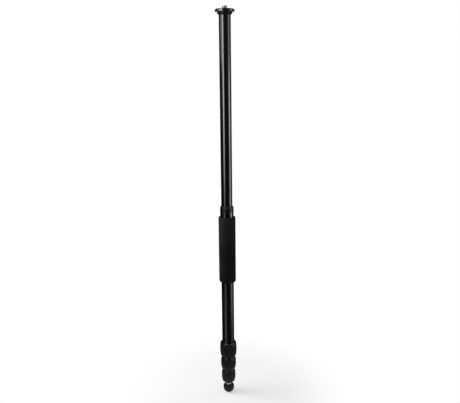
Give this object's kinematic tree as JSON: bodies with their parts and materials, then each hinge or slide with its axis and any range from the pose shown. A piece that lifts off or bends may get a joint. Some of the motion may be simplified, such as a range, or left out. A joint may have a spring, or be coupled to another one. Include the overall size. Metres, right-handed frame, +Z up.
{
  "type": "travel tripod monopod",
  "caption": "Telescopic camera monopod made from a travel tripod's foam-grip leg and centre column, with twist locks, a round rubber foot and a threaded camera stud on a disc.",
  "frame": {"origin": "centre of the rubber foot's contact face, on the ground", "axes": "+Z up along the pole's axis to the camera stud, -Y towards the picture's camera, +X to its right"},
  "size_m": [0.0358, 0.0358, 0.7779],
  "materials": {
    "bright_steel": "bright machined steel",
    "machined_rim": "turned aluminium, bright edge",
    "gloss_black_metal": "gloss black anodised",
    "satin_black_metal": "satin black anodised",
    "bare_aluminium": "plain turned",
    "black_rubber": "matte, moulded",
    "foot_rubber": "matte, worn",
    "black_foam": "closed-cell foam, matte",
    "black_plastic": "moulded",
    "grey_plastic": "moulded"
  },
  "bodies": {
    "foot_section": {"leg_tube_4": "satin_black_metal", "tube_4_shims": "grey_plastic", "foot_plug": "satin_black_metal", "foot_stud": "bright_steel", "foot_jam_nut": "bright_steel", "foot_insert": "bare_aluminium", "rubber_foot": "foot_rubber"},
    "leg_section_3": {"leg_tube_3": "satin_black_metal", "tube_3_shims": "grey_plastic", "lock_3_collar": "satin_black_metal"},
    "leg_section_2": {"leg_tube_2": "satin_black_metal", "tube_2_shims": "grey_plastic", "lock_2_collar": "satin_black_metal"},
    "leg_section_1": {"leg_tube_1": "satin_black_metal", "lock_1_collar": "satin_black_metal", "foam_grip": "black_foam", "leg_end_ring": "gloss_black_metal", "leg_top_collar": "satin_black_metal", "leg_top_stud": "bright_steel"},
    "base_washer": {"column_base_washer": "black_rubber"},
    "lower_column": {"lower_column_tube": "gloss_black_metal", "lower_column_bottom_bush": "bare_aluminium", "lower_column_top_bush": "bare_aluminium", "column_joint_stud": "bright_steel"},
    "joint_washer": {"column_joint_washer": "black_plastic"},
    "upper_column": {"upper_column_tube": "gloss_black_metal", "upper_column_bush": "bare_aluminium", "column_head": "satin_black_metal", "mounting_disc": "machined_rim", "camera_screw": "bright_steel"},
    "collet_1": {"lock_1_collet": "grey_plastic"},
    "twist_ring_1": {"lock_1_ring": "satin_black_metal", "lock_1_sleeve": "black_rubber", "lock_1_seal": "black_rubber"},
    "collet_2": {"lock_2_collet": "grey_plastic"},
    "twist_ring_2": {"lock_2_ring": "satin_black_metal", "lock_2_sleeve": "black_rubber", "lock_2_seal": "black_rubber"},
    "collet_3": {"lock_3_collet": "grey_plastic"},
    "twist_ring_3": {"lock_3_ring": "satin_black_metal", "lock_3_sleeve": "black_rubber", "lock_3_seal": "black_rubber"}
  },
  "joints": [
    {"name": "section_4_slide", "type": "slide", "parent": "foot_section", "child": "leg_section_3", "axis": [0, 0, 1], "range_m": [0, 0.303]},
    {"name": "section_3_slide", "type": "slide", "parent": "leg_section_3", "child": "leg_section_2", "axis": [0, 0, 1], "range_m": [0, 0.276]},
    {"name": "section_2_slide", "type": "slide", "parent": "leg_section_2", "child": "leg_section_1", "axis": [0, 0, 1], "range_m": [0, 0.248]},
    {"name": "lock_1_release", "type": "slide", "parent": "leg_section_1", "child": "collet_1", "axis": [0, 0, -1], "range_m": [0, 0.001]},
    {"name": "lock_1_twist", "type": "hinge", "parent": "collet_1", "child": "twist_ring_1", "pos_m": [0, 0, 0.1], "axis": [0, 0, -1], "range_deg": [0, 120]},
    {"name": "lock_2_release", "type": "slide", "parent": "leg_section_2", "child": "collet_2", "axis": [0, 0, -1], "range_m": [0, 0.001]},
    {"name": "lock_2_twist", "type": "hinge", "parent": "collet_2", "child": "twist_ring_2", "pos_m": [0, 0, 0.067], "axis": [0, 0, -1], "range_deg": [0, 120]},
    {"name": "lock_3_release", "type": "slide", "parent": "leg_section_3", "child": "collet_3", "axis": [0, 0, -1], "range_m": [0, 0.001]},
    {"name": "lock_3_twist", "type": "hinge", "parent": "collet_3", "child": "twist_ring_3", "pos_m": [0, 0, 0.037], "axis": [0, 0, -1], "range_deg": [0, 120]},
    {"name": "lower_column_lift", "type": "slide", "parent": "leg_section_1", "child": "base_washer", "axis": [0, 0, 1], "range_m": [0, 0.00794]},
    {"name": "lower_column_unscrew", "type": "hinge", "parent": "base_washer", "child": "lower_column", "pos_m": [0, 0, 0.41], "axis": [0, 0, 1], "range_deg": [0, 1800]},
    {"name": "upper_column_lift", "type": "slide", "parent": "lower_column", "child": "joint_washer", "axis": [0, 0, 1], "range_m": [0, 0.00794]},
    {"name": "upper_column_unscrew", "type": "hinge", "parent": "joint_washer", "child": "upper_column", "pos_m": [0, 0, 0.7], "axis": [0, 0, 1], "range_deg": [0, 1800]}
  ],
  "couplings": [
    {"joint": "lock_1_twist", "follows": "lock_1_release", "rad_per_m": 2094.4},
    {"joint": "lock_2_twist", "follows": "lock_2_release", "rad_per_m": 2094.4},
    {"joint": "lock_3_twist", "follows": "lock_3_release", "rad_per_m": 2094.4},
    {"joint": "lower_column_unscrew", "follows": "lower_column_lift", "rad_per_m": 3957.9},
    {"joint": "upper_column_unscrew", "follows": "upper_column_lift", "rad_per_m": 3957.9}
  ]
}
